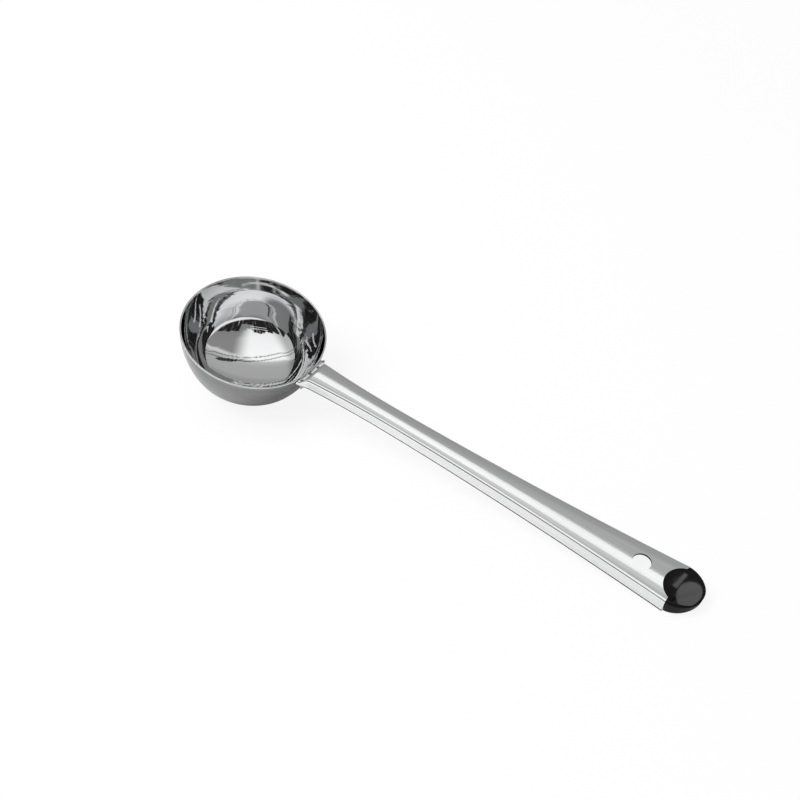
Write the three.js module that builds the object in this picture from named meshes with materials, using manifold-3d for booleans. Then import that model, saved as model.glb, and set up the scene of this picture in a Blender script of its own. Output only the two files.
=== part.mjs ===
// Deep steel ladle: a pressed bowl, a channel handle welded to it, and a plastic plug in the handle's end.
// Millimetres, +Z up. The ladle lies on its bowl and on the end of its handle, with the handle along +X.
import * as THREE from 'three';
import { mergeVertices } from 'three/addons/utils/BufferGeometryUtils.js';
import Module from 'manifold-3d';

const wasm = await Module();
wasm.setup();

const degrees = THREE.MathUtils.degToRad;
const quarterTurn = Math.PI / 2;

// Bowl
const rimRadius = 40;
const bowlDepth = 36.5;
const bowlSheet = 1;
const wallArc = 64;
const wallLean = degrees(5.65);
const knuckleArc = 20;
const dishArc = 65;

// Handle, measured along its top from the outside of the rim
const handleSheet = 1.1;
const handleRise = degrees(7.3);
const rootHeight = 2.6;
const rootWidth = 17.4;
const neckWidth = 13;
const neckAt = 50;
const handleEnd = 221;
const endWidth = 26.7;
const rootWall = 6.5;
const endWall = 8.6;
const innerCorner = 0.5;
const crownAngle = degrees(6);
const flarePower = 2;
const taperPower = 1.85;

// Bend of the root towards the bowl, its least side wall and the wings at its sides
const bendLength = 4.5;
const bendDrop = 1.8;
const bendWall = 2.8;
const wingReach = 2.2;
const wingLength = 4.5;

// Tab that runs down the outside of the bowl
const tabDepth = 14;
const tabWidth = 12;
const tabCorner = 4;

// Hanging hole, and the hollow edge that the plug's tongue fills
const holeRadius = 4.75;
const holeToEnd = 19.7;
const notchDepth = 6.8;
const notchRadius = 11.3;

// End cap: its dome narrows by one curve in plan and by another in height, to a nose below the handle's top
const capLength = 13.7;
const planBluntness = 1.9;
const heightBluntness = 1.6;
const noseSize = 0.1;
const noseDepth = 2;
const plugLength = 5;
const capInset = 0.15;
const capLift = 1;

// Welds, in a row on the bent root
const weldCount = 4;
const weldPitch = 6.3;
const weldRadius = 0.9;
const weldToRim = 1.7;

// Clearances between pieces
const seamGap = 0.3;
const capGap = 0.3;
const weldGap = 0.25;

// Finishes
const steelColour = 0xc8cacc;
const bowlRoughness = 0.12;
const handleRoughness = 0.22;
const weldRoughness = 0.5;
const capColour = 0x0b0b0c;
const capRoughness = 0.15;

// Facets of round shapes. An odd count leaves a flat facet along the middle of the handle's crown.
const turnSteps = 56;
const arcSteps = 6;
const lipSteps = 4;
const cornerSteps = 3;
const crownSteps = 5;
const notchSteps = 12;
const holeSteps = 32;
const beadSteps = 12;
const domeSteps = 8;

// Sections along the handle
const blankSteps = 2;
const bendSteps = 5;
const flareSteps = 6;
const taperSteps = 16;
const plugSteps = 5;

// Reach of the blanks that are cut away, beyond what they cut
const spare = 5;
const clearOfAll = 60;

// Points of an arc in a plane, from one angle to the other
function arc(centre, radius, from, to, steps) {
  return new THREE.EllipseCurve(centre.x, centre.y, radius, radius, from, to, to < from).getPoints(steps);
}

// The crossing of two circles that lies to the right of the line from the first centre to the second
function crossing(first, firstRadius, second, secondRadius) {
  const along = second.clone().sub(first);
  const distance = along.length();
  along.divideScalar(distance);
  const across = new THREE.Vector2(along.y, -along.x);
  const reach = (distance ** 2 + firstRadius ** 2 - secondRadius ** 2) / (2 * distance);
  const aside = Math.sqrt(firstRadius ** 2 - reach ** 2);
  return first.clone().addScaledVector(along, reach).addScaledVector(across, aside);
}

// A closed solid through rings of equally many points, capped at both ends
function loft(rings) {
  const count = rings[0].length;
  const last = (rings.length - 1) * count;
  const flat = rings[0].map((point) => new THREE.Vector2(point.y, point.z));
  const faces = [];
  for (let ring = 0; ring < last; ring += count) {
    for (let side = 0; side < count; side += 1) {
      const next = (side + 1) % count;
      faces.push(ring + side, ring + next, ring + count + next);
      faces.push(ring + side, ring + count + next, ring + count + side);
    }
  }
  for (const [a, b, c] of THREE.ShapeUtils.triangulateShape(flat, [])) {
    faces.push(c, b, a, last + a, last + b, last + c);
  }
  const geometry = new THREE.BufferGeometry().setFromPoints(rings.flat());
  geometry.setIndex(faces);
  return geometry;
}

// A body turned about the Z axis
function turned(profile) {
  return new THREE.LatheGeometry(profile, turnSteps).rotateX(quarterTurn);
}

function solid(geometry) {
  const bare = geometry.clone();
  bare.deleteAttribute('normal');
  bare.deleteAttribute('uv');
  const merged = mergeVertices(bare);
  const vertProperties = new Float32Array(merged.attributes.position.array);
  const triVerts = new Uint32Array(merged.index.array);
  return new wasm.Manifold(new wasm.Mesh({ numProp: 3, vertProperties, triVerts }));
}

function meshOf(name, body, material) {
  const { numProp, vertProperties, triVerts } = body.getMesh();
  const geometry = new THREE.BufferGeometry();
  geometry.setAttribute('position', new THREE.BufferAttribute(vertProperties, numProp));
  geometry.setIndex(new THREE.BufferAttribute(triVerts, 1));
  geometry.computeVertexNormals();
  const mesh = new THREE.Mesh(geometry, material);
  mesh.name = name;
  return mesh;
}

// Bowl: three arcs, tangent to each other, give its outside from the axis to the rim
const wallCentre = new THREE.Vector2(rimRadius - wallArc * Math.cos(wallLean), wallArc * Math.sin(wallLean));
const dishCentre = new THREE.Vector2(0, dishArc - bowlDepth);
const knuckleCentre = crossing(wallCentre, wallArc - knuckleArc, dishCentre, dishArc - knuckleArc);
const dishEdge = knuckleCentre.clone().sub(dishCentre).angle() - 2 * Math.PI;
const wallFoot = knuckleCentre.clone().sub(wallCentre).angle() - 2 * Math.PI;

function bowlLine(offset) {
  return [
    ...arc(dishCentre, dishArc + offset, -quarterTurn, dishEdge, arcSteps),
    ...arc(knuckleCentre, knuckleArc + offset, dishEdge, wallFoot, arcSteps).slice(1),
    ...arc(wallCentre, wallArc + offset, wallFoot, -wallLean, arcSteps).slice(1),
  ];
}

function bowlBody() {
  const upWall = new THREE.Vector2(Math.cos(wallLean), -Math.sin(wallLean));
  const rim = wallCentre.clone().addScaledVector(upWall, wallArc - bowlSheet / 2);
  const lip = arc(rim, bowlSheet / 2, -wallLean, Math.PI - wallLean, lipSteps).slice(1, -1);
  return solid(turned([...bowlLine(0), ...lip, ...bowlLine(-bowlSheet).reverse()]));
}

// All that lies inside the bowl, or nearer to its outside than the gap
function bowlRoom(gap) {
  const outside = bowlLine(gap);
  const edge = outside[outside.length - 1].x;
  return solid(turned([...outside, new THREE.Vector2(edge, clearOfAll), new THREE.Vector2(0, clearOfAll)]));
}

// Handle: its section changes along its length
const cornerRadius = innerCorner + handleSheet;

function easing(x, length) {
  return THREE.MathUtils.clamp(1 - x / length, 0, 1) ** 2;
}

function widthAt(x) {
  if (x < neckAt) {
    const wings = 2 * wingReach * easing(x, wingLength);
    return neckWidth + (rootWidth - neckWidth) * (1 - x / neckAt) ** flarePower + wings;
  }
  return neckWidth + (endWidth - neckWidth) * ((x - neckAt) / (handleEnd - neckAt)) ** taperPower;
}

function wallAt(x) {
  return rootWall + ((endWall - rootWall) * x) / handleEnd;
}

function topAt(x) {
  return -bendDrop * easing(x, bendLength);
}

function footAt(x) {
  const rise = Math.max(wallAt(x) - bendDrop - bendWall, 0);
  return rise * easing(x, bendLength) - Math.max(wallAt(x), bendWall - topAt(x));
}

function crownAt(x) {
  return cornerRadius + (widthAt(x) / 2 - cornerRadius) / Math.sin(crownAngle);
}

// The section's outline from one foot over the top to the other foot, moved in by the inset
function outline(x, inset, foot) {
  const half = widthAt(x) / 2;
  const cornerY = half - cornerRadius;
  const crownRadius = crownAt(x);
  const crownZ = topAt(x) - crownRadius;
  const cornerZ = crownZ + (crownRadius - cornerRadius) * Math.cos(crownAngle);
  const turn = quarterTurn - crownAngle;
  const right = new THREE.Vector2(cornerY, cornerZ);
  const left = new THREE.Vector2(-cornerY, cornerZ);
  const points = [
    new THREE.Vector2(half - inset, foot),
    ...arc(right, cornerRadius - inset, 0, turn, cornerSteps),
    ...arc(new THREE.Vector2(0, crownZ), crownRadius - inset, turn, Math.PI - turn, crownSteps).slice(1, -1),
    ...arc(left, cornerRadius - inset, Math.PI - turn, Math.PI, cornerSteps),
    new THREE.Vector2(inset - half, foot),
  ];
  return points.map((point) => new THREE.Vector3(x, point.x, point.y));
}

function steps(from, to, count) {
  return Array.from({ length: count }, (_, index) => from + ((to - from) * index) / count);
}

const rootSteps = [
  ...steps(-spare, 0, blankSteps),
  ...steps(0, bendLength, bendSteps),
  ...steps(bendLength, neckAt, flareSteps),
];
const gripSteps = [...steps(neckAt, handleEnd + spare, taperSteps), handleEnd + spare];
const handlePlace = new THREE.Matrix4().makeRotationY(-handleRise).setPosition(rimRadius, 0, rootHeight);

// A sheet that follows the handle between two insets, and a full body of the handle's outline that goes on below it
function sheetBody(stations, outer, inner) {
  const rings = stations.map((x) => {
    const foot = footAt(x) + outer;
    return [...outline(x, outer, foot), ...outline(x, inner, foot).reverse()];
  });
  return solid(loft(rings).applyMatrix4(handlePlace));
}

function fullBody(stations, inset, below) {
  const rings = stations.map((x) => outline(x, inset, footAt(x) + inset - below));
  return solid(loft(rings).applyMatrix4(handlePlace));
}

function extruded(shape, depth, curveSegments) {
  return new THREE.ExtrudeGeometry(shape, { depth, curveSegments, bevelEnabled: false });
}

// What is cut off past the handle's end, with the hollow arc in its top edge
function endCut(gap) {
  const endX = handleEnd + gap;
  const centreX = handleEnd - notchDepth + notchRadius;
  const radius = notchRadius - gap;
  const half = Math.sqrt(radius ** 2 - (endX - centreX) ** 2);
  const start = Math.atan2(-half, endX - centreX);
  const shape = new THREE.Shape();
  shape.moveTo(endX, -clearOfAll);
  shape.lineTo(endX, -half);
  shape.absarc(centreX, 0, radius, start, -start, true);
  shape.lineTo(endX, clearOfAll);
  shape.lineTo(endX + clearOfAll, clearOfAll);
  shape.lineTo(endX + clearOfAll, -clearOfAll);
  const prism = extruded(shape, 2 * clearOfAll, notchSteps).translate(0, 0, -clearOfAll);
  return solid(prism.applyMatrix4(handlePlace));
}

// The tab hugs the bowl's wall, from inside the handle's sheet down. It touches the bowl here: the seam is cut later.
function tabBody() {
  const topAngle = (rootHeight + handleSheet) / wallArc - wallLean;
  const outer = arc(wallCentre, wallArc + seamGap + handleSheet, wallFoot, topAngle, arcSteps);
  const inner = arc(wallCentre, wallArc, topAngle, wallFoot, arcSteps);
  const ring = solid(turned([...outer, ...inner, outer[0]]));
  const half = tabWidth / 2;
  const cornerY = half - tabCorner;
  const cornerZ = rootHeight - bendDrop - tabDepth + tabCorner;
  const shape = new THREE.Shape();
  shape.moveTo(half, clearOfAll);
  shape.lineTo(-half, clearOfAll);
  shape.absarc(-cornerY, cornerZ, tabCorner, Math.PI, 3 * quarterTurn, false);
  shape.absarc(cornerY, cornerZ, tabCorner, -quarterTurn, 0, false);
  const strip = extruded(shape, clearOfAll, cornerSteps).rotateX(quarterTurn).rotateZ(quarterTurn);
  return ring.intersect(solid(strip)).intersect(fullBody(rootSteps, handleSheet / 2, tabDepth));
}

function handleBody() {
  const blank = sheetBody([...rootSteps, ...gripSteps], 0, handleSheet).add(tabBody());
  const hole = new THREE.CylinderGeometry(holeRadius, holeRadius, 2 * spare, holeSteps).rotateX(quarterTurn);
  hole.translate(handleEnd - holeToEnd, 0, 0).applyMatrix4(handlePlace);
  return blank.subtract(bowlRoom(seamGap)).subtract(solid(hole)).subtract(endCut(0));
}

function narrowing(reach, bluntness) {
  return noseSize + (1 - noseSize) * (1 - reach ** bluntness) ** (1 / bluntness);
}

// The plug fills the handle's end between its walls, and its dome carries the handle's outline on to a blunt nose
function capBody() {
  const plugStart = handleEnd - notchDepth - plugLength;
  const straight = steps(plugStart, handleEnd, plugSteps);
  const rings = straight.map((x) => outline(x, capInset, footAt(x) + capLift));
  const full = outline(handleEnd, capInset, footAt(handleEnd) + capLift);
  for (let step = 0; step <= domeSteps; step += 1) {
    const reach = Math.sin((quarterTurn * step) / domeSteps);
    const x = handleEnd + capLength * reach;
    const wide = narrowing(reach, planBluntness);
    const high = narrowing(reach, heightBluntness);
    rings.push(full.map(({ y, z }) => new THREE.Vector3(x, y * wide, (z + noseDepth) * high - noseDepth)));
  }
  const blank = solid(loft(rings).applyMatrix4(handlePlace));
  const stations = [...steps(plugStart - spare, handleEnd, plugSteps), handleEnd + spare];
  return blank.subtract(sheetBody(stations, -spare, handleSheet + capGap).subtract(endCut(capGap)));
}

// Each weld lies on the crown of the bent root, at one distance from the rim
function weldBody(index) {
  const reach = rimRadius + weldToRim;
  const angle = ((index - (weldCount - 1) / 2) * weldPitch) / reach;
  const x = reach * Math.cos(angle) - rimRadius;
  const y = reach * Math.sin(angle);
  const z = topAt(x) - crownAt(x) + Math.sqrt(crownAt(x) ** 2 - y ** 2);
  const bead = new THREE.SphereGeometry(weldRadius, beadSteps, beadSteps / 2);
  bead.translate(x, y, z).applyMatrix4(handlePlace);
  return solid(bead).subtract(bowlRoom(weldGap)).subtract(fullBody(rootSteps, -weldGap, 0));
}

function steel(roughness) {
  return new THREE.MeshStandardMaterial({ color: steelColour, metalness: 1, roughness });
}

function plastic() {
  return new THREE.MeshStandardMaterial({ color: capColour, metalness: 0, roughness: capRoughness });
}

const ladle = new THREE.Group();
ladle.add(meshOf('bowl', bowlBody(), steel(bowlRoughness)));
ladle.add(meshOf('handle', handleBody(), steel(handleRoughness)));
ladle.add(meshOf('end_cap', capBody(), plastic()));
for (let index = 0; index < weldCount; index += 1) {
  ladle.add(meshOf(`spot_weld_${index + 1}`, weldBody(index), steel(weldRoughness)));
}

// The ladle tips until the foot of the handle's end lies level with the lowest point of the bowl's floor
const foot = new THREE.Vector3(handleEnd, 0, -endWall).applyMatrix4(handlePlace);
const drop = dishCentre.y - foot.z;
ladle.rotation.y = Math.asin(dishArc / Math.hypot(foot.x, drop)) - Math.atan2(drop, foot.x);

// The origin lies under the middle of the ladle, at the level it rests on
const part = new THREE.Group();
part.add(ladle);
const box = new THREE.Box3().setFromObject(part, true);
ladle.position.set(-(box.min.x + box.max.x) / 2, -(box.min.y + box.max.y) / 2, -box.min.z);

export default part;
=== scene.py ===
import math
import bpy
import numpy as np
from mathutils import Matrix, Vector, noise


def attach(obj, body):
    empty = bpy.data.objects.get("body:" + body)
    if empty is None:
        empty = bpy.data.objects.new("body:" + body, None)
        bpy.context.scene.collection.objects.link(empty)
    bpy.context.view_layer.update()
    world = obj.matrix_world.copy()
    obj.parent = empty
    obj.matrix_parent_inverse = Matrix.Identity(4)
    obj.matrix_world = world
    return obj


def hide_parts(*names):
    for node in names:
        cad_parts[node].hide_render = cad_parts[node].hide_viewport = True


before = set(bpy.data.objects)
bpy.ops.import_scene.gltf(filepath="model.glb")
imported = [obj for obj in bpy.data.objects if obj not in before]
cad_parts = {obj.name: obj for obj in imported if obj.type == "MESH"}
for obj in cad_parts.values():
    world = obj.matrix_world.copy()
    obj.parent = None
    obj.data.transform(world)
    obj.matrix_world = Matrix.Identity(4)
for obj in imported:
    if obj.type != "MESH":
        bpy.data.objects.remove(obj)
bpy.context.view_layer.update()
print("frame:", ", ".join(sorted(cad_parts)))

# how the ladle lies: millimetres and degrees, from the same sizes as the solids
lie = {"rimCentre": (-116.6935, 0.0, 37.2372), "tilt": 13.0588, "perMetre": 1000.0}


def turnedAboutY(points, degrees):
    a = math.radians(degrees)
    x = points[..., 0] * math.cos(a) + points[..., 2] * math.sin(a)
    z = points[..., 2] * math.cos(a) - points[..., 0] * math.sin(a)
    return np.stack([x, points[..., 1], z], -1)


def fromBowl(points):  # the bowl's own frame, in mm from its rim's centre, to the scene in metres
    return (turnedAboutY(points, lie["tilt"]) + np.array(lie["rimCentre"])) / lie["perMetre"]


def bowlFromHandle(points):  # the handle's frame, in mm from its root, to the bowl's
    root = np.array([bowl["rimRadius"], 0.0, handle["rootHeight"]])
    return turnedAboutY(points, -handle["rise"]) + root


def fromHandle(points):
    return fromBowl(bowlFromHandle(points))


def hold(name, data):  # an object for a mesh, a lamp or a camera
    holder = bpy.data.objects.new(name, data)
    bpy.context.scene.collection.objects.link(holder)
    return holder


def addPiece(name, points, faces, materials, faceSlots=None, pointUv=None):
    mesh = bpy.data.meshes.new(name)
    mesh.from_pydata(points.tolist(), [], faces)
    for material in materials:
        mesh.materials.append(material)
    mesh.polygons.foreach_set("use_smooth", [True] * len(faces))
    if faceSlots is not None:
        mesh.polygons.foreach_set("material_index", faceSlots)
    if pointUv is not None:
        layer = mesh.uv_layers.new(name="finish")
        corner = np.zeros(len(mesh.loops), int)
        mesh.loops.foreach_get("vertex_index", corner)
        layer.data.foreach_set("uv", pointUv[corner].ravel())
    mesh.update()
    return hold(name, mesh)


def roundEdges(piece, millimetres, degrees, segments=2):
    bevel = piece.modifiers.new("edges", "BEVEL")
    bevel.width = millimetres / lie["perMetre"]
    bevel.segments = segments
    bevel.limit_method = "ANGLE"
    bevel.angle_limit = math.radians(degrees)
    bevel.harden_normals = True


def place(piece, node):
    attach(piece, "root")
    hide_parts(node)


# finishes: node helpers first
def newFinish(name):
    material = bpy.data.materials.new(name)
    material.use_nodes = True
    tree = material.node_tree
    return material, tree, tree.nodes["Principled BSDF"]


def addNode(tree, kind, inputs=None, **settings):
    node = tree.nodes.new(kind)
    for key, value in settings.items():
        setattr(node, key, value)
    for key, value in (inputs or {}).items():
        if isinstance(value, bpy.types.NodeSocket):
            tree.links.new(value, node.inputs[key])
        else:
            node.inputs[key].default_value = value
    return node


def mathOf(tree, operation, first, second=0.0):
    return addNode(tree, "ShaderNodeMath", {0: first, 1: second}, operation=operation).outputs[0]


def spread(tree, value, low, high, fromLow=0.3, fromHigh=0.7):
    node = addNode(tree, "ShaderNodeMapRange", {
        "Value": value, "From Min": fromLow, "From Max": fromHigh, "To Min": low, "To Max": high})
    return node.outputs["Result"]


def addBump(tree, shader, height, strength, distance):
    node = addNode(tree, "ShaderNodeBump", {
        "Height": height, "Strength": strength, "Distance": distance})
    tree.links.new(node.outputs["Normal"], shader.inputs["Normal"])


def noiseOf(tree, vector, scale, detail=3.0, rough=0.55):
    node = addNode(tree, "ShaderNodeTexNoise", {
        "Vector": vector, "Scale": scale, "Detail": detail, "Roughness": rough})
    return node.outputs["Fac"]


def dressSteel(tree, shader, finish, shade, grain):  # two tones by the shade, rough and bumpy by the grain
    tone = addNode(tree, "ShaderNodeMix", {
        "Factor": shade, "A": finish["dark"], "B": finish["light"]}, data_type="RGBA")
    tree.links.new(tone.outputs["Result"], shader.inputs["Base Color"])
    shader.inputs["Metallic"].default_value = 1.0
    tree.links.new(spread(tree, grain, *finish["rough"]), shader.inputs["Roughness"])
    addBump(tree, shader, grain, finish["bump"], finish["bumpDepth"])


def bowlRings(tree):  # radius and height about the bowl's own axis, so that marks run in circles
    where = addNode(tree, "ShaderNodeTexCoord")
    centre = tuple(v / lie["perMetre"] for v in lie["rimCentre"])
    shifted = addNode(tree, "ShaderNodeVectorMath", {
        0: where.outputs["Object"], 1: centre}, operation="SUBTRACT")
    upright = addNode(tree, "ShaderNodeVectorRotate", {
        "Vector": shifted.outputs[0], "Angle": math.radians(-lie["tilt"])}, rotation_type="Y_AXIS")
    flat = addNode(tree, "ShaderNodeVectorMath", {
        0: upright.outputs[0], 1: (1.0, 1.0, 0.0)}, operation="MULTIPLY")
    radius = addNode(tree, "ShaderNodeVectorMath", {0: flat.outputs[0]}, operation="LENGTH")
    parts = addNode(tree, "ShaderNodeSeparateXYZ", {0: upright.outputs[0]})
    rings = addNode(tree, "ShaderNodeCombineXYZ", {
        0: radius.outputs["Value"], 1: parts.outputs[2]})
    return rings.outputs[0], where.outputs["Object"]


polish = {
    "colour": (0.77, 0.775, 0.78, 1.0), "rough": (0.02, 0.05), "ringScale": 420.0,
    "smearScale": 60.0, "bump": 0.5, "bumpDepth": 0.00004,
}


def makePolish():
    material, tree, shader = newFinish("bowlPolish")
    rings, where = bowlRings(tree)
    lines = noiseOf(tree, rings, polish["ringScale"], detail=2.0)
    smears = noiseOf(tree, where, polish["smearScale"], detail=4.0)
    shader.inputs["Base Color"].default_value = polish["colour"]
    shader.inputs["Metallic"].default_value = 1.0
    tree.links.new(spread(tree, smears, *polish["rough"]), shader.inputs["Roughness"])
    addBump(tree, shader, lines, polish["bump"], polish["bumpDepth"])
    return material


satin = {
    "dark": (0.1, 0.101, 0.103, 1.0), "light": (0.38, 0.383, 0.387, 1.0), "rough": (0.2, 0.32),
    "ringScale": 1100.0, "ringShare": 0.6, "smearScale": 45.0, "bump": 0.25, "bumpDepth": 0.00006,
}


def makeSatin():
    material, tree, shader = newFinish("bowlSatin")
    rings, where = bowlRings(tree)
    lines = noiseOf(tree, rings, satin["ringScale"], detail=4.0)
    smears = noiseOf(tree, where, satin["smearScale"], detail=4.0)
    marks = addNode(tree, "ShaderNodeMix", {"Factor": satin["ringShare"], "A": smears, "B": lines})
    dressSteel(tree, shader, satin, marks.outputs["Result"], lines)
    return material


brush = {
    "dark": (0.66, 0.665, 0.67, 1.0), "light": (0.97, 0.975, 0.98, 1.0), "rough": (0.06, 0.12),
    "streaks": (0.8, 75.0, 1.0), "fine": (4.0, 900.0, 1.0), "bump": 0.12, "bumpDepth": 0.00003,
}


def makeBrush():
    material, tree, shader = newFinish("handleBrush")
    where = addNode(tree, "ShaderNodeUVMap", uv_map="finish")
    wide = addNode(tree, "ShaderNodeVectorMath", {
        0: where.outputs[0], 1: brush["streaks"]}, operation="MULTIPLY")
    thin = addNode(tree, "ShaderNodeVectorMath", {
        0: where.outputs[0], 1: brush["fine"]}, operation="MULTIPLY")
    streaks = noiseOf(tree, wide.outputs[0], 1.0, detail=5.0)
    fine = noiseOf(tree, thin.outputs[0], 1.0, detail=2.0)
    dressSteel(tree, shader, brush, streaks, fine)
    return material


# the cut edges of the handle's sheet, and a thin strip of face along the foot of each wall, dull and darker
# than the faces
shear = {
    "dark": (0.03, 0.03, 0.03, 1.0), "light": (0.12, 0.12, 0.12, 1.0), "rough": (0.4, 0.6),
    "scale": 900.0, "detail": 3.0, "bump": 0.3, "bumpDepth": 0.00004,
}

# the welds, darkened in spots by their heat
scorch = {
    "dark": (0.1, 0.1, 0.1, 1.0), "light": (0.42, 0.41, 0.4, 1.0), "rough": (0.3, 0.55),
    "scale": 1500.0, "detail": 4.0, "bump": 0.4, "bumpDepth": 0.0001,
}


def makeMottled(name, finish):
    material, tree, shader = newFinish(name)
    where = addNode(tree, "ShaderNodeTexCoord")
    spots = noiseOf(tree, where.outputs["Object"], finish["scale"], finish["detail"])
    dressSteel(tree, shader, finish, spots, spots)
    return material


gloss = {
    "colour": (0.002, 0.002, 0.0022, 1.0), "rough": (0.05, 0.1), "smearScale": 240.0, "shine": 0.16,
    "grainScale": 2600.0, "bump": 0.05, "bumpDepth": 0.00002,
}


def makeGloss():
    material, tree, shader = newFinish("capGloss")
    where = addNode(tree, "ShaderNodeTexCoord")
    smears = noiseOf(tree, where.outputs["Object"], gloss["smearScale"], detail=4.0)
    grain = noiseOf(tree, where.outputs["Object"], gloss["grainScale"], detail=2.0)
    shader.inputs["Base Color"].default_value = gloss["colour"]
    shader.inputs["Specular IOR Level"].default_value = gloss["shine"]
    tree.links.new(spread(tree, smears, *gloss["rough"]), shader.inputs["Roughness"])
    addBump(tree, shader, grain, gloss["bump"], gloss["bumpDepth"])
    return material


bowlPolish, bowlSatin = makePolish(), makeSatin()
handleBrush, handleShear = makeBrush(), makeMottled("handleShear", shear)
capGloss, weldScorch = makeGloss(), makeMottled("weldScorch", scorch)
print("finishes: polish, satin, brush, shear, gloss, scorch")

# bowl: three tangent arcs, turned about its axis
bowl = {
    "rimRadius": 40.0, "depth": 36.5, "sheet": 1.0,
    "wallArc": 64.0, "wallLean": 5.65, "knuckleArc": 20.0, "dishArc": 65.0,
    "arcSteps": 30, "lipSteps": 10, "turnSteps": 224,
}


def bowlCentres():
    lean = math.radians(bowl["wallLean"])
    inward = np.array([-math.cos(lean), math.sin(lean)])
    wall = np.array([bowl["rimRadius"], 0.0]) + bowl["wallArc"] * inward
    dish = np.array([0.0, bowl["dishArc"] - bowl["depth"]])
    first = bowl["wallArc"] - bowl["knuckleArc"]
    second = bowl["dishArc"] - bowl["knuckleArc"]
    apart = np.linalg.norm(dish - wall)
    along = (dish - wall) / apart
    reach = (apart ** 2 + first ** 2 - second ** 2) / (2 * apart)
    aside = math.sqrt(first ** 2 - reach ** 2)
    knuckle = wall + along * reach + np.array([along[1], -along[0]]) * aside
    return wall, dish, knuckle


def arcPoints(centre, radius, start, stop, steps):
    a = np.linspace(start, stop, steps + 1)
    return centre + radius * np.stack([np.cos(a), np.sin(a)], -1)


def angleOf(v):
    return math.atan2(v[1], v[0])


def bowlLine(offset):  # from the axis to the rim
    wall, dish, knuckle = bowlCentres()
    dishEdge, wallFoot = angleOf(knuckle - dish), angleOf(knuckle - wall)
    n = bowl["arcSteps"]
    return np.concatenate([
        arcPoints(dish, bowl["dishArc"] + offset, -math.pi / 2, dishEdge, n),
        arcPoints(knuckle, bowl["knuckleArc"] + offset, dishEdge, wallFoot, n)[1:],
        arcPoints(wall, bowl["wallArc"] + offset, wallFoot, -math.radians(bowl["wallLean"]), n)[1:],
    ])


def makeBowl():
    lean = math.radians(bowl["wallLean"])
    wall = bowlCentres()[0]
    half = bowl["sheet"] / 2
    rim = wall + (bowl["wallArc"] - half) * np.array([math.cos(lean), -math.sin(lean)])
    outside = bowlLine(0.0)
    lip = arcPoints(rim, half, -lean, math.pi - lean, bowl["lipSteps"])[1:-1]
    inside = bowlLine(-bowl["sheet"])[::-1]
    profile = np.concatenate([outside, lip, inside])
    count = bowl["turnSteps"]
    turn = np.arange(count) * 2 * math.pi / count
    rings = profile[1:-1]
    points = [np.array([[0.0, 0.0, profile[0][1]]])]
    for r, z in rings:
        points.append(np.stack([r * np.cos(turn), r * np.sin(turn), np.full(count, z)], -1))
    points.append(np.array([[0.0, 0.0, profile[-1][1]]]))
    points = np.concatenate(points)
    last = len(points) - 1
    satinSlot, polishSlot = 0, 1
    faces, slots = [], []
    for j in range(count):
        faces.append((0, 1 + (j + 1) % count, 1 + j))
        slots.append(satinSlot)
    for k in range(len(rings) - 1):
        for j in range(count):
            a, b = 1 + k * count + j, 1 + k * count + (j + 1) % count
            faces.append((a, b, b + count, a + count))
            slots.append(satinSlot if k < len(outside) - 2 else polishSlot)
    start = 1 + (len(rings) - 1) * count
    for j in range(count):
        faces.append((last, start + j, start + (j + 1) % count))
        slots.append(polishSlot)
    return addPiece("bowlShell", fromBowl(points), faces, [bowlSatin, bowlPolish], slots)


bowlShell = makeBowl()
place(bowlShell, "bowl")
print("bowl:", len(bowlShell.data.polygons), "faces")

# handle: the sheet's section along its length, x in mm from the outside of the rim
handle = {
    "sheet": 1.1, "rise": 7.3, "rootHeight": 2.6, "rootWidth": 17.4,
    "neckWidth": 13.0, "neckAt": 50.0, "end": 221.0, "endWidth": 26.7,
    "rootWall": 6.5, "endWall": 8.6, "innerCorner": 0.5, "crownAngle": 6.0,
    "flarePower": 2.0, "taperPower": 1.85,
    "bendLength": 4.5, "bendDrop": 1.8, "bendWall": 2.8, "wingReach": 2.2, "wingLength": 4.5,
    "holeRadius": 4.75, "holeToEnd": 19.7, "notchDepth": 6.8, "notchRadius": 11.3,
    "seamGap": 0.3, "edgeRound": 0.28, "edgeTurn": 40.0,
    "wallSteps": 8, "cornerSteps": 8, "crownSteps": 58,
    "denseRoot": 6.0, "rootRows": 16, "neckRows": 26, "shaftRows": 60, "holeRows": 32, "endRows": 18,
    "rootFade": 12.0, "holeClear": 2.0, "rootSearch": (-5.0, 8.0), "searchSteps": 40,
    "leastReach": 1e-6, "finishLength": 100.0,
}
cornerRadius = handle["innerCorner"] + handle["sheet"]
crownTurn = math.radians(handle["crownAngle"])
faceSlot, cutSlot = 0, 1  # the brushed faces and the cut edges


def easing(x, length):
    return np.clip(1 - x / length, 0, 1) ** 2


def widthAt(x):
    neck, neckAt = handle["neckWidth"], handle["neckAt"]
    flare = np.clip(1 - x / neckAt, 0, None) ** handle["flarePower"]
    taper = np.clip((x - neckAt) / (handle["end"] - neckAt), 0, None) ** handle["taperPower"]
    wings = 2 * handle["wingReach"] * easing(x, handle["wingLength"])
    grow = (handle["rootWidth"] - neck) * flare + (handle["endWidth"] - neck) * taper
    return neck + grow + wings


def topAt(x):
    return -handle["bendDrop"] * easing(x, handle["bendLength"])


def footAt(x):
    wall = handle["rootWall"] + (handle["endWall"] - handle["rootWall"]) * x / handle["end"]
    lift = np.maximum(wall - handle["bendDrop"] - handle["bendWall"], 0)
    return lift * easing(x, handle["bendLength"]) - np.maximum(wall, handle["bendWall"] - topAt(x))


def crownAt(x):
    return cornerRadius + (widthAt(x) / 2 - cornerRadius) / math.sin(crownTurn)


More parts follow.
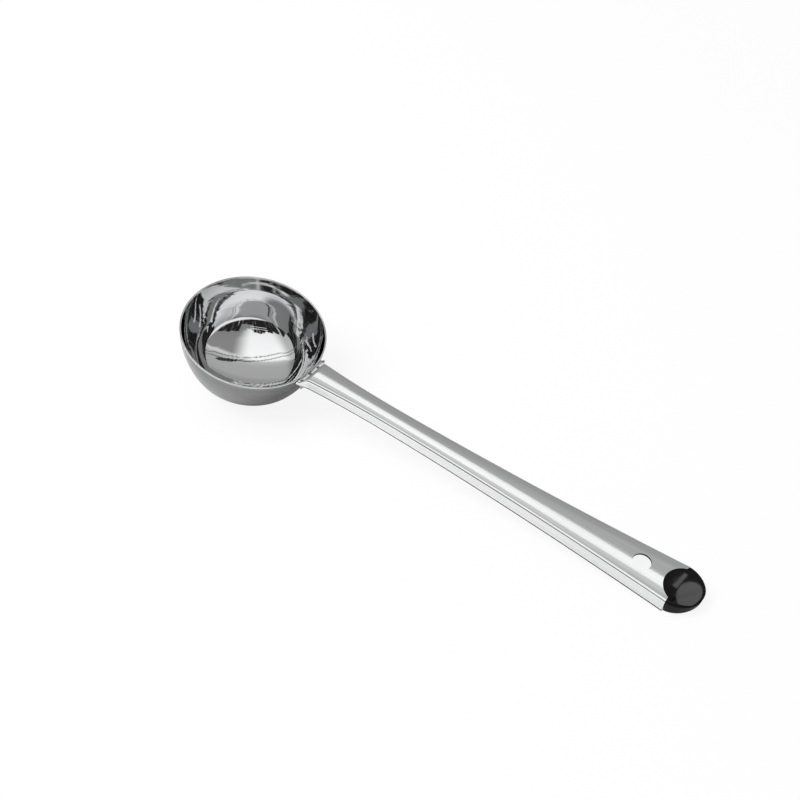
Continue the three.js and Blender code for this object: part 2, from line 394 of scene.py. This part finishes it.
# one line along the handle: its side, the stretch of the section it runs on, and its share of that stretch
def sectionLines(wallSteps, cornerSteps, crownSteps):
    wall = [("wall", k / wallSteps) for k in range(wallSteps)]
    corner = [("corner", k / cornerSteps) for k in range(cornerSteps)]
    crown = [(1, "crown", k / crownSteps) for k in range(crownSteps + 1)]
    near = [(1, kind, part) for kind, part in wall + corner]
    far = [(-1, kind, part) for kind, part in reversed(wall + corner)]
    return near + crown + far


def sectionPoint(x, line, inset, lift=0.0):
    side, kind, part = line
    half = widthAt(x) / 2
    cornerY = half - cornerRadius
    crownR = crownAt(x)
    crownZ = topAt(x) - crownR
    cornerZ = crownZ + (crownR - cornerRadius) * math.cos(crownTurn)
    turn = math.pi / 2 - crownTurn
    if kind == "wall":
        foot = footAt(x) + lift
        y = half - inset
        z = foot + (cornerZ - foot) * part
    elif kind == "corner":
        y = cornerY + (cornerRadius - inset) * math.cos(turn * part)
        z = cornerZ + (cornerRadius - inset) * math.sin(turn * part)
    elif kind == "crown":
        angle = turn + 2 * crownTurn * part
        y = (crownR - inset) * math.cos(angle)
        z = crownZ + (crownR - inset) * math.sin(angle)
    else:  # the flat underside of the plug
        y = (half - inset) * part
        z = footAt(x) + lift
    return np.stack(np.broadcast_arrays(x, side * y, z), -1)


def roomRadius(z, gap):  # the bowl's outside, grown by the gap, at a height from its rim
    wall = bowlCentres()[0]
    reach = bowl["wallArc"] + gap
    lean = math.radians(bowl["wallLean"])
    if z > -gap:
        return wall[0] + reach * math.cos(lean)
    return wall[0] + math.sqrt(max(reach ** 2 - (z - wall[1]) ** 2, 0.0))


def rootStart(line, inset):  # where a line leaves the bowl's wall
    low, high = handle["rootSearch"]
    for step in range(handle["searchSteps"]):
        x = (low + high) / 2
        px, py, pz = bowlFromHandle(sectionPoint(np.float64(x), line, inset))
        if math.hypot(px, py) > roomRadius(pz, handle["seamGap"]):
            high = x
        else:
            low = x
    return high


def notchEnd(line, inset, gap):  # where a line meets the hollow end
    end = handle["end"] + gap
    centre = handle["end"] - handle["notchDepth"] + handle["notchRadius"]
    radius = handle["notchRadius"] - gap
    x = end
    for step in range(handle["searchSteps"]):
        y = sectionPoint(np.float64(x), line, inset)[1]
        inside = radius ** 2 - y ** 2
        x = min(end, centre - math.sqrt(inside)) if inside > 0 else end
    return x


def stations(*stretches):  # each stretch: where it starts, where it stops and its count of rows
    marks = [np.linspace(start, stop, count, endpoint=False) for start, stop, count in stretches]
    return np.concatenate(marks + [[stretches[-1][1]]])


def makeHandle():
    lines = sectionLines(handle["wallSteps"], handle["cornerSteps"], handle["crownSteps"])
    dense, neckAt, end = handle["denseRoot"], handle["neckAt"], handle["end"]
    holeAt = end - handle["holeToEnd"]
    clear = handle["holeRadius"] + handle["holeClear"]
    base = stations((0, dense, handle["rootRows"]), (dense, neckAt, handle["neckRows"]),
                    (neckAt, holeAt - clear, handle["shaftRows"]),
                    (holeAt - clear, holeAt + clear, handle["holeRows"]),
                    (holeAt + clear, end, handle["endRows"]))
    nearRoot = np.clip(1 - base / handle["rootFade"], 0, 1)
    nearEnd = np.clip((base - holeAt - clear) / (end - holeAt - clear), 0, 1)
    rows, count = len(base), len(lines)
    skins = []
    for inset in (0.0, handle["sheet"]):
        skin = np.zeros((rows, count, 3))
        for v, line in enumerate(lines):
            x = base + rootStart(line, inset) * nearRoot
            x = x + (notchEnd(line, inset, 0.0) - end) * nearEnd
            skin[:, v] = sectionPoint(x, line, inset)
        skins.append(skin)
    # the points over the hole move out to its edge, and the faces among them are left out
    holeCentre = np.array([holeAt, 0.0])
    inHole = np.linalg.norm(skins[0][:, :, :2] - holeCentre, axis=-1) < handle["holeRadius"]
    for inset, skin in zip((0.0, handle["sheet"]), skins):
        away = skin[:, :, :2] - holeCentre
        far = np.maximum(np.linalg.norm(away, axis=-1, keepdims=True), handle["leastReach"])
        onEdge = holeCentre + away / far * handle["holeRadius"]
        x, y = onEdge[..., 0], onEdge[..., 1]
        crownR = crownAt(x)
        z = topAt(x) - crownR + np.sqrt((crownR - inset) ** 2 - y ** 2)
        skin[inHole] = np.stack([x, y, z], -1)[inHole]
    offset = rows * count
    faces, edges = [], {}
    for i in range(rows - 1):
        for v in range(count - 1):
            if inHole[i:i + 2, v:v + 2].all():
                continue
            a = i * count + v
            ring = (a, a + 1, a + count + 1, a + count)
            faces.append(ring)
            faces.append(tuple(p + offset for p in reversed(ring)))
            for p, q in zip(ring, ring[1:] + ring[:1]):
                if (q, p) in edges:
                    del edges[(q, p)]
                else:
                    edges[(p, q)] = True
    footLines = (0, count - 2)  # a darker strip along each foot, beside the cut edge, in the cut edges' finish
    slots = [cutSlot if min(f) % count in footLines and max(f) < offset else faceSlot for f in faces]
    slots += [faceSlot if max(edge) < count else cutSlot for edge in edges]  # bright against the bowl
    for p, q in edges:
        faces.append((q, p, p + offset, q + offset))
    points = fromHandle(np.concatenate([skin.reshape(-1, 3) for skin in skins]))
    used = np.unique(np.concatenate([np.array(f) for f in faces]))
    renumber = np.full(len(points), -1)
    renumber[used] = np.arange(len(used))
    middle = skins[0][rows // 2]
    across = np.concatenate([[0], np.cumsum(np.linalg.norm(np.diff(middle, axis=0), axis=1))])
    uv = np.stack(np.broadcast_arrays(base[:, None], across[None, :]), -1).reshape(-1, 2)
    uv = np.concatenate([uv, uv]) / handle["finishLength"]
    return points[used], [tuple(int(renumber[p]) for p in f) for f in faces], slots, uv[used]


tab = {
    "depth": 14.0, "width": 12.0, "corner": 4.0, "tuck": 0.5,
    "rows": 26, "rowPower": 0.8, "columns": 16,
}


def makeTab():
    top = handle["rootHeight"] - handle["bendDrop"]
    drop = np.linspace(0, 1, tab["rows"]) ** tab["rowPower"]
    heights = top - tab["tuck"] - (tab["depth"] - tab["tuck"]) * drop
    cornerZ = top - tab["depth"] + tab["corner"]
    shares = np.linspace(-1, 1, tab["columns"])
    skins = []
    for gap in (handle["seamGap"] + handle["sheet"], handle["seamGap"]):
        skin = np.zeros((tab["rows"], tab["columns"], 3))
        for i, z in enumerate(heights):
            below = max(cornerZ - z, 0.0)
            half = tab["width"] / 2 - tab["corner"] + math.sqrt(max(tab["corner"] ** 2 - below ** 2, 0.0))
            y = shares * half
            skin[i] = np.stack([np.sqrt(roomRadius(z, gap) ** 2 - y ** 2), y, np.full(len(y), z)], -1)
        skins.append(skin.reshape(-1, 3))
    offset = len(skins[0])
    count = tab["columns"]
    faces = []
    for i in range(tab["rows"] - 1):
        for v in range(count - 1):
            a = i * count + v
            ring = (a, a + count, a + count + 1, a + 1)
            faces.append(ring)
            faces.append(tuple(p + offset for p in reversed(ring)))
    rim = list(range(count))
    rim += [i * count + count - 1 for i in range(1, tab["rows"])]
    rim += [(tab["rows"] - 1) * count + v for v in range(count - 2, -1, -1)]
    rim += [i * count for i in range(tab["rows"] - 2, 0, -1)]
    for p, q in zip(rim, rim[1:] + rim[:1]):
        faces.append((q, p, p + offset, q + offset)[::-1])
    return fromBowl(np.concatenate(skins)), faces


def joinHandle():
    points, faces, slots, uv = makeHandle()
    tabPoints, tabFaces = makeTab()
    faces += [tuple(p + len(points) for p in f) for f in tabFaces]
    slots += [faceSlot] * len(tabFaces)
    tabUv = tabPoints[:, [2, 1]] * lie["perMetre"] / handle["finishLength"]
    piece = addPiece("handleChannel", np.concatenate([points, tabPoints]), faces,
                     [handleBrush, handleShear], slots, np.concatenate([uv, tabUv]))
    roundEdges(piece, handle["edgeRound"], handle["edgeTurn"])
    return piece


handleChannel = joinHandle()
place(handleChannel, "handle")
print("handle:", len(handleChannel.data.polygons), "faces")

# end cap: a plug between the walls, a tongue in the hollow end and a dome
cap = {
    "length": 13.7, "planBluntness": 1.9, "heightBluntness": 1.6, "noseSize": 0.1, "noseDepth": 2.0,
    "plugLength": 5.0, "domeAfter": 1.0, "inset": 0.15, "lift": 1.0, "gap": 0.3,
    "edgeRound": 0.3, "edgeTurn": 50.0, "plugRows": 6, "tongueRows": 10, "domeRows": 30,
    "wallSteps": 6, "cornerSteps": 6, "crownSteps": 44, "underSteps": 16,
}


def narrowing(reach, bluntness):
    return cap["noseSize"] + (1 - cap["noseSize"]) * (1 - reach ** bluntness) ** (1 / bluntness)


def capPoint(x, line, inset):
    if x <= handle["end"]:
        return sectionPoint(np.float64(x), line, inset, cap["lift"])
    reach = min((x - handle["end"]) / cap["length"], 1.0)
    full = sectionPoint(np.float64(handle["end"]), line, inset, cap["lift"])
    y = full[1] * narrowing(reach, cap["planBluntness"])
    z = (full[2] + cap["noseDepth"]) * narrowing(reach, cap["heightBluntness"]) - cap["noseDepth"]
    return np.array([x, y, z])


def makeCap():
    lines = sectionLines(cap["wallSteps"], cap["cornerSteps"], cap["crownSteps"])
    n = cap["underSteps"]
    lines += [(1, "under", -1 + 2 * k / n) for k in range(1, n)]
    plugStart = handle["end"] - handle["notchDepth"] - cap["plugLength"]
    domeStart = handle["end"] + cap["domeAfter"]
    firstTurn = math.asin(cap["domeAfter"] / cap["length"])
    turns = np.linspace(firstTurn, math.pi / 2, cap["domeRows"])
    dome = handle["end"] + cap["length"] * np.sin(turns)
    inner = handle["sheet"] + cap["gap"]
    columns = []
    for line in lines:
        step = handle["end"] + cap["gap"]
        if line[1] != "under":
            step = notchEnd(line, cap["inset"], cap["gap"])
        plug = np.linspace(plugStart, step, cap["plugRows"])
        tongue = np.linspace(step, domeStart, cap["tongueRows"])[:-1]
        column = [capPoint(x, line, inner) for x in plug]
        column += [capPoint(x, line, cap["inset"]) for x in np.concatenate([tongue, dome])]
        columns.append(column)
    grid = np.array(columns).transpose(1, 0, 2)
    rows, count = grid.shape[:2]
    points = [grid.reshape(-1, 3), grid[0].mean(0)[None], grid[-1].mean(0)[None]]
    faces = []
    for i in range(rows - 1):
        for v in range(count):
            a, b = i * count + v, i * count + (v + 1) % count
            faces.append((a, b, b + count, a + count))
    first, last = rows * count, rows * count + 1
    for v in range(count):
        w = (v + 1) % count
        faces.append((first, w, v))
        faces.append((last, (rows - 1) * count + v, (rows - 1) * count + w))
    piece = addPiece("capPlug", fromHandle(np.concatenate(points)), faces, [capGloss])
    roundEdges(piece, cap["edgeRound"], cap["edgeTurn"])
    return piece


capPlug = makeCap()
place(capPlug, "end_cap")
print("end cap:", len(capPlug.data.polygons), "faces")

# welds: low lumps along the rim, each a little different
weld = {
    "count": 4, "pitch": 6.3, "toRim": 1.7, "radius": 0.88, "height": 0.62, "sink": 0.12, "sinkPower": 4,
    "wobble": 0.16, "wobbleScale": 1.3, "rings": 8, "sides": 28, "seed": 3.7,
}


def makeWeld(index):
    reach = bowl["rimRadius"] + weld["toRim"]
    turn = (index - (weld["count"] - 1) / 2) * weld["pitch"] / reach
    x, y = reach * math.cos(turn) - bowl["rimRadius"], reach * math.sin(turn)
    slope = 2 * handle["bendDrop"] * max(1 - x / handle["bendLength"], 0.0) / handle["bendLength"]
    crownR = crownAt(x)
    z = topAt(x) - crownR + math.sqrt(crownR ** 2 - y ** 2)
    up = Vector((-slope, y / crownR, 1.0)).normalized()
    right = Vector((1.0, 0.0, slope)).normalized()
    across = up.cross(right)
    middle = Vector((x, y, z))
    points = [middle + up * weld["height"], middle - up * weld["sink"]]
    for k in range(1, weld["rings"] + 1):
        part = k / weld["rings"]
        for j in range(weld["sides"]):
            a = 2 * math.pi * j / weld["sides"]
            seed = Vector((math.cos(a), math.sin(a), weld["seed"] * (index + 1)))
            wobble = weld["wobble"] * noise.noise(seed * weld["wobbleScale"]) * part
            out = weld["radius"] * part * (1 + wobble)
            lump = weld["height"] * math.sqrt(max(1 - part ** 2, 0.0))
            lump -= weld["sink"] * part ** weld["sinkPower"]
            points.append(middle + right * out * math.cos(a) + across * out * math.sin(a) + up * lump)
    faces = []
    n = weld["sides"]
    for j in range(n):
        w = (j + 1) % n
        faces.append((0, 2 + j, 2 + w))
        for k in range(weld["rings"] - 1):
            a, b = 2 + k * n + j, 2 + k * n + w
            faces.append((a, a + n, b + n, b))
        end = 2 + (weld["rings"] - 1) * n
        faces.append((1, end + w, end + j))
    piece = addPiece("weldLump%d" % (index + 1), fromHandle(np.array(points)), faces, [weldScorch])
    place(piece, "spot_weld_%d" % (index + 1))
    return piece


welds = [makeWeld(index) for index in range(weld["count"])]
print("welds:", len(welds))

# stage: a pale floor that glows near white to the camera and a little in mirrors, and keeps the shadow
stage = {
    "size": 8.0, "colour": (0.92, 0.92, 0.92, 1.0), "rough": 0.9, "glow": 0.88, "mirrorGlow": 0.12,
}


def makeFloor():
    material, tree, shader = newFinish("paleFloor")
    shader.inputs["Base Color"].default_value = stage["colour"]
    shader.inputs["Roughness"].default_value = stage["rough"]
    shader.inputs["Specular IOR Level"].default_value = 0.0
    path = addNode(tree, "ShaderNodeLightPath")
    seen = mathOf(tree, "MULTIPLY", path.outputs["Is Camera Ray"], stage["glow"])
    mirrored = mathOf(tree, "MAXIMUM", path.outputs["Is Glossy Ray"], path.outputs["Is Transmission Ray"])
    mirrored = mathOf(tree, "MULTIPLY", mirrored, stage["mirrorGlow"])
    white = addNode(tree, "ShaderNodeEmission", {"Color": (1.0, 1.0, 1.0, 1.0), "Strength": 1.0})
    both = addNode(tree, "ShaderNodeMixShader", {
        0: mathOf(tree, "MAXIMUM", seen, mirrored), 1: shader.outputs[0], 2: white.outputs[0]})
    tree.links.new(both.outputs[0], tree.nodes["Material Output"].inputs["Surface"])
    half = stage["size"] / 2
    corners = np.array([[-half, -half, 0], [half, -half, 0], [half, half, 0], [-half, half, 0]])
    floor = addPiece("floor", corners, [(0, 1, 2, 3)], [material])


makeFloor()

# room: degrees from straight overhead, across to the right and away to the far side
room = {
    "far": (-0.5763, 0.8172, 0.0), "side": (0.8172, 0.5763, 0.0), "degreesEachWay": 90.0,
    "leastSine": 0.001, "ceilingRange": (0.0, 1.2), "skylineRange": (-75.0, -20.0),
    "ceiling": ((-90, 0.4), (-62, 0.4), (-45, 1.0), (16, 1.2), (19, 0.6), (24, 0.48), (38, 0.46),
                (42, 0.38), (60, 0.31), (90, 0.3)),
    "shade": 0.75, "shadeFrom": 11.0, "shadeTo": 28.0, "shadeOver": (12.0, 20.0),
    "leftShade": 0.5, "leftFrom": -14.0, "leftTo": -42.0,
    "lineAt": 12.0, "lineSlope": 0.22, "linesApart": 4.5, "lineWidth": 1.1, "lineDark": 0.75,
    "wedgeAt": 11.9, "wedgeSlope": 0.42, "wedgeFrom": (10.0, 28.0), "wedgeTo": (35.0, 39.0),
    "wedgeThin": -0.5, "wedgeThick": 1.9, "wedgeSoft": 0.4, "wedgeDark": 0.9,
    "skyline": ((-90, -62), (-75, -58), (-62, -36), (-46, -30), (-25, -35), (-16, -35), (-4, -30), (4, -25),
                (9, -27), (12, -36), (22, -34), (26, -30), (40, -25), (60, -22), (90, -20)),
    "ragged": 5.0, "raggedScale": 0.12, "edgeSoft": 1.2,
    "dark": 0.02, "streak": 0.6, "streakScale": (0.3, 0.015, 1.0), "streakFrom": 0.57, "streakTo": 0.7,
    "lane": (10.0, 28.0), "laneOver": (-52.0, -20.0), "laneSoft": 3.0, "laneLevel": 0.26,
    "bars": ((-41.2, -40.2), (-48.2, -47.2)), "barAcross": (-14.0, 14.0), "barSoft": 0.5, "barLevel": 0.95,
    "wallOver": (71.0, 75.0), "wallLevel": 0.985,
}


def between(tree, value, low, high, start=0.0, stop=1.0):
    node = addNode(tree, "ShaderNodeMapRange", {
        "Value": value, "From Min": low, "From Max": high, "To Min": start, "To Max": stop},
        interpolation_type="SMOOTHSTEP")
    return node.outputs["Result"]


def window(tree, value, ends, soft):  # one between the two ends, and nought outside them
    rising = between(tree, value, ends[0] - soft, ends[0])
    return mathOf(tree, "MULTIPLY", rising, between(tree, value, ends[1], ends[1] + soft, 1.0, 0.0))


def rampOf(tree, angle, stops, low, high):  # a value by angle, from a few stops
    reach = room["degreesEachWay"]
    ramp = addNode(tree, "ShaderNodeValToRGB", {0: spread(tree, angle, 0.0, 1.0, -reach, reach)})
    elements = ramp.color_ramp.elements
    for index, (mark, value) in enumerate(stops):
        position = (mark + reach) / (2 * reach)
        stop = elements[index] if index < 2 else elements.new(position)  # a new ramp holds two
        stop.position = position
        level = (value - low) / (high - low)
        stop.color = (level, level, level, 1.0)
    return spread(tree, ramp.outputs["Color"], low, high, 0.0, 1.0)


def roomAngles(tree, where):
    across = addNode(tree, "ShaderNodeVectorMath", {0: where, 1: room["side"]}, operation="DOT_PRODUCT")
    away = addNode(tree, "ShaderNodeVectorMath", {0: where, 1: room["far"]}, operation="DOT_PRODUCT")
    height = addNode(tree, "ShaderNodeSeparateXYZ", {0: where}).outputs[2]
    fromTop = mathOf(tree, "ARCCOSINE", height)
    sine = mathOf(tree, "MAXIMUM", mathOf(tree, "SINE", fromTop), room["leastSine"])
    stretch = mathOf(tree, "DIVIDE", fromTop, sine)
    stretch = mathOf(tree, "MULTIPLY", stretch, math.degrees(1.0))
    u = mathOf(tree, "MULTIPLY", across.outputs["Value"], stretch)
    w = mathOf(tree, "MULTIPLY", away.outputs["Value"], stretch)
    return u, w, mathOf(tree, "MULTIPLY", fromTop, math.degrees(1.0))


def blend(tree, first, second, share):
    rest = mathOf(tree, "MULTIPLY", first, mathOf(tree, "SUBTRACT", 1.0, share))
    return mathOf(tree, "ADD", rest, mathOf(tree, "MULTIPLY", share, second))


def offLine(tree, u, w, slope, start):  # how far a direction lies from a slanting line
    middle = mathOf(tree, "ADD", mathOf(tree, "MULTIPLY", u, slope), start)
    return mathOf(tree, "ABSOLUTE", mathOf(tree, "SUBTRACT", w, middle))


def darkLine(tree, u, w, offset):
    apart = offLine(tree, u, w, room["lineSlope"], room["lineAt"] + offset)
    return between(tree, apart, 0.0, room["lineWidth"], 1 - room["lineDark"], 1.0)


def darkWedge(tree, u, w):  # a line that swells to one side and ends there
    apart = offLine(tree, u, w, room["wedgeSlope"], room["wedgeAt"])
    swell = room["wedgeThick"] - room["wedgeThin"]
    half = mathOf(tree, "ADD", between(tree, u, *room["wedgeFrom"], room["wedgeThin"], room["wedgeThick"]),
                  between(tree, u, *room["wedgeTo"], 0.0, -swell))
    past = mathOf(tree, "SUBTRACT", apart, half)
    return between(tree, past, -room["wedgeSoft"], room["wedgeSoft"], 1 - room["wedgeDark"], 1.0)


def makeRoom():
    world = bpy.data.worlds.new("room")
    bpy.context.scene.world = world
    world.use_nodes = True
    tree = world.node_tree
    u, w, fromTop = roomAngles(tree, addNode(tree, "ShaderNodeTexCoord").outputs["Generated"])
    # the ceiling, with its sides in shade and a few dark lines
    level = rampOf(tree, w, room["ceiling"], *room["ceilingRange"])
    nearHalf = between(tree, w, *room["shadeOver"], 1.0, 0.0)
    rightHalf = between(tree, u, room["shadeFrom"], room["shadeTo"], 0.0, room["shade"])
    shade = mathOf(tree, "MULTIPLY", rightHalf, nearHalf)
    level = mathOf(tree, "MULTIPLY", level, mathOf(tree, "SUBTRACT", 1.0, shade))
    leftShade = between(tree, u, room["leftTo"], room["leftFrom"], room["leftShade"], 1.0)
    level = mathOf(tree, "MULTIPLY", level, leftShade)
    for offset in (0.0, room["linesApart"]):
        level = mathOf(tree, "MULTIPLY", level, darkLine(tree, u, w, offset))
    level = mathOf(tree, "MULTIPLY", level, darkWedge(tree, u, w))
    # the dark side behind the camera, with a ragged edge, pale streaks, a grey lane and two bars
    where = addNode(tree, "ShaderNodeCombineXYZ", {0: u, 1: w}).outputs[0]
    ragged = spread(tree, noiseOf(tree, where, room["raggedScale"]), -room["ragged"], room["ragged"])
    edge = mathOf(tree, "ADD", rampOf(tree, u, room["skyline"], *room["skylineRange"]), ragged)
    below = between(tree, mathOf(tree, "SUBTRACT", edge, w), 0.0, room["edgeSoft"])
    lanes = addNode(tree, "ShaderNodeVectorMath", {0: where, 1: room["streakScale"]}, operation="MULTIPLY")
    streaks = noiseOf(tree, lanes.outputs[0], 1.0)
    behind = between(tree, streaks, room["streakFrom"], room["streakTo"], room["dark"], room["streak"])
    lane = mathOf(tree, "MULTIPLY", window(tree, u, room["lane"], room["laneSoft"]),
                  window(tree, w, room["laneOver"], room["laneSoft"]))
    behind = mathOf(tree, "MAXIMUM", behind, mathOf(tree, "MULTIPLY", lane, room["laneLevel"]))
    for ends in room["bars"]:
        bar = mathOf(tree, "MULTIPLY", window(tree, w, ends, room["barSoft"]),
                     window(tree, u, room["barAcross"], room["barSoft"]))
        behind = mathOf(tree, "MAXIMUM", behind, mathOf(tree, "MULTIPLY", bar, room["barLevel"]))
    level = blend(tree, level, behind, below)
    # a plain pale wall all round, which is the backdrop in low views
    level = blend(tree, level, room["wallLevel"], between(tree, fromTop, *room["wallOver"]))
    background = tree.nodes["Background"]
    tree.links.new(level, background.inputs["Color"])


makeRoom()

# lamps: a softbox for everything and a panel for the cap, in metres
softbox = {
    "name": "softbox", "place": (-0.85, -0.6, 1.6), "aim": (0.0, 0.0, 0.0),
    "shape": "SQUARE", "size": 1.3, "power": 27.0, "mirrored": False,
}
panel = {
    "name": "panel", "place": (0.192, 0.112, 0.166), "aim": (0.145, 0.0, 0.008),
    "shape": "DISK", "size": 0.084, "power": 0.09, "mirrored": True,
}
# strips over the handle and a glint on the cap's shoulder, from end to end, in the handle's frame in mm
brightStrip = {
    "name": "brightStrip", "ends": ((-43.0, 39.8, 60.0), (217.0, 34.8, 60.0)),
    "width": 12.0, "power": 0.0064,
}
dimStrip = {
    "name": "dimStrip", "ends": ((-43.0, 29.8, 60.0), (217.0, 24.8, 60.0)),
    "width": 8.0, "power": 0.0012,
}
glint = {
    "name": "glint", "ends": ((212.0, 53.0, 82.0), (214.0, 79.0, 70.0)),
    "width": 7.0, "power": 0.003,
}


def makeLamp(lamp):
    light = bpy.data.lights.new(lamp["name"], "AREA")
    light.shape = lamp["shape"]
    light.size = lamp["size"]
    light.energy = lamp["power"]
    holder = hold(lamp["name"], light)
    holder.location = lamp["place"]
    aim = Vector(lamp["aim"]) - Vector(lamp["place"])
    holder.rotation_euler = aim.to_track_quat("-Z", "Y").to_euler()
    holder.visible_glossy = lamp["mirrored"]
    holder.visible_camera = False
    return holder


def makeStrip(strip):
    light = bpy.data.lights.new(strip["name"], "AREA")
    light.shape = "RECTANGLE"
    start, stop = (Vector(p) for p in fromHandle(np.array(strip["ends"])))
    light.size = (stop - start).length
    light.size_y = strip["width"] / lie["perMetre"]
    light.energy = strip["power"]
    holder = hold(strip["name"], light)
    middle = (start + stop) / 2
    x = sum(end[0] for end in strip["ends"]) / 2
    foot = Vector(fromHandle(np.array([x, 0.0, 0.0])))
    along = (stop - start).normalized()
    across = (middle - foot).cross(along).normalized()
    turn = Matrix((along, across, along.cross(across))).transposed().to_4x4()
    holder.matrix_world = Matrix.Translation(middle) @ turn
    holder.visible_camera = False
    return holder


def lightOnly(holder, piece):  # an accent for one piece, which the bowl doesn't mirror
    group = bpy.data.collections.new(holder.name)
    group.objects.link(piece)
    holder.light_linking.receiver_collection = group


makeLamp(softbox)
lightOnly(makeLamp(panel), capPlug)
lightOnly(makeStrip(glint), capPlug)
for strip in (brightStrip, dimStrip):
    lightOnly(makeStrip(strip), handleChannel)

# camera: degrees and mm from the rim's centre, with its lens in mm and its far clip in metres
view = {
    "azimuth": 35.19, "elevation": 43.99, "distance": 723.49, "aside": 79.35, "above": -37.45,
    "lens": 60.0, "sensor": 36.0, "clipEnd": 50.0,
}


def makeCamera():
    a, e = math.radians(view["azimuth"]), math.radians(view["elevation"])
    back = Vector((math.sin(a) * math.cos(e), -math.cos(a) * math.cos(e), math.sin(e)))
    right = Vector((math.cos(a), math.sin(a), 0.0))
    up = back.cross(right)
    eye = Vector(lie["rimCentre"]) + back * view["distance"] + right * view["aside"] + up * view["above"]
    lens = bpy.data.cameras.new("camera")
    lens.lens = view["lens"]
    lens.sensor_width = view["sensor"]
    lens.clip_end = view["clipEnd"]
    holder = hold("camera", lens)
    turn = Matrix((right, up, back)).transposed().to_4x4()
    holder.matrix_world = Matrix.Translation(eye / lie["perMetre"]) @ turn
    bpy.context.scene.camera = holder


makeCamera()
bpy.context.scene.view_settings.view_transform = "Standard"
print("stage, room, lamps and camera are set")

bpy.context.view_layer.update()
